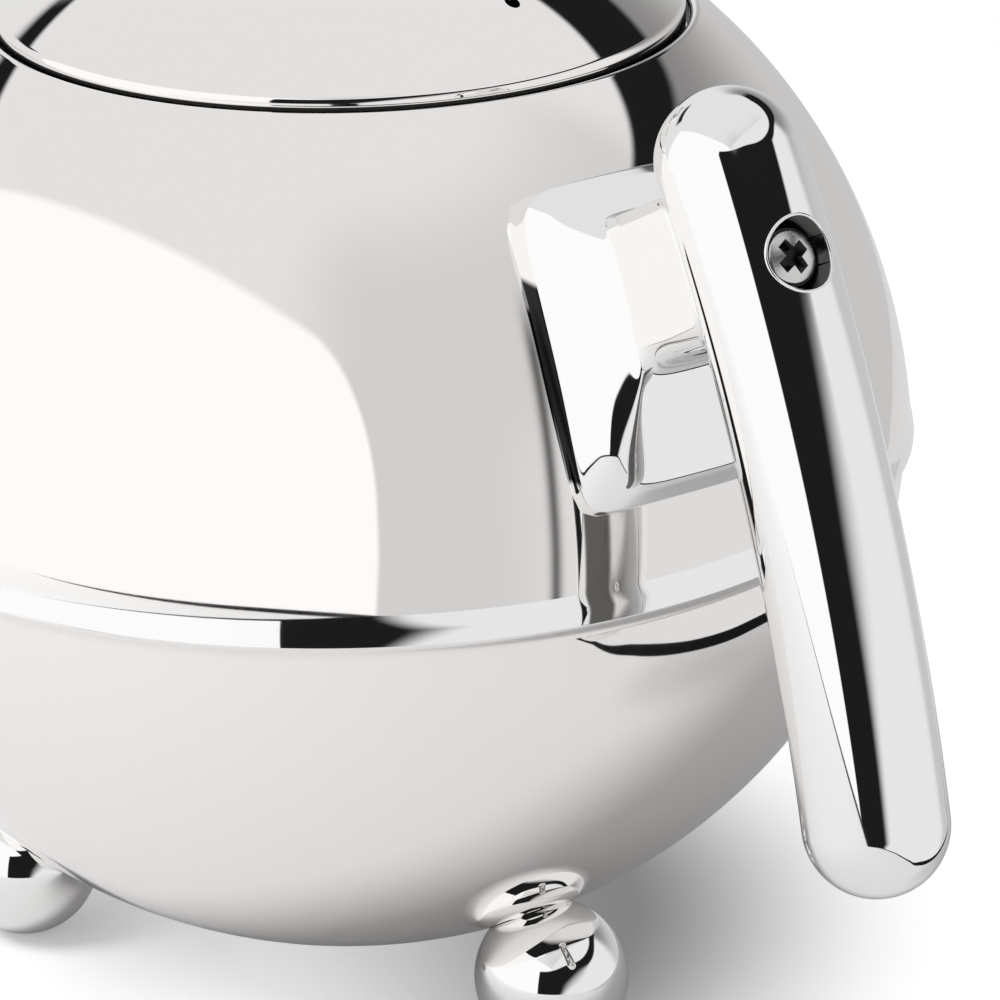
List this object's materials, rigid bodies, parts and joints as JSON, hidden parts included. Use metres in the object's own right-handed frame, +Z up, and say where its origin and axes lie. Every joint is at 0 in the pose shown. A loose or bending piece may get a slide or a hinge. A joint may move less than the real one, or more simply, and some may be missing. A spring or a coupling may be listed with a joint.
{
  "type": "teapot",
  "caption": "Round insulated teapot in polished silver metal on ball feet, with a lift-off lid, a lift-out tea basket, a bowed bar handle on a cast bracket and a tapered spout.",
  "frame": {"origin": "on the pot's axis at table level, midway between the handle's outer end and the spout's tip", "axes": "+Z up, +X towards the handle, -X towards the spout, +Y across the pot"},
  "size_m": [0.248, 0.156, 0.1713],
  "materials": {
    "polished_silver": "mirror polished",
    "polished_casting": "mirror polished casting",
    "inner_steel": "satin",
    "fastener_steel": "bright plated"
  },
  "bodies": {
    "body": {"upper_shell": "polished_silver", "lower_shell": "polished_silver", "vessel_bowl": "inner_steel", "vessel_shoulder": "inner_steel", "spout": "polished_silver", "spout_duct": "inner_steel", "handle_bracket": "polished_casting", "bracket_backing_plate": "fastener_steel", "bracket_screws": "fastener_steel", "handle_grip": "polished_casting", "handle_screw": "fastener_steel", "foot_handle_side": "polished_silver", "foot_left": "polished_silver", "foot_right": "polished_silver", "foot_screws": "fastener_steel", "foot_washers": "fastener_steel"},
    "infuser": {"infuser_rim": "inner_steel", "infuser_wall": "inner_steel", "infuser_base": "inner_steel"},
    "lid": {"lid_shell": "polished_silver", "lid_liner": "inner_steel", "lid_knob": "polished_silver", "knob_washer": "fastener_steel", "knob_screw": "fastener_steel"}
  },
  "joints": [
    {"name": "infuser_lift", "type": "slide", "parent": "body", "child": "infuser", "axis": [0, 0, 1], "range_m": [0, 0.1]},
    {"name": "lid_lift", "type": "slide", "parent": "infuser", "child": "lid", "axis": [0, 0, 1], "range_m": [0, 0.06]}
  ]
}
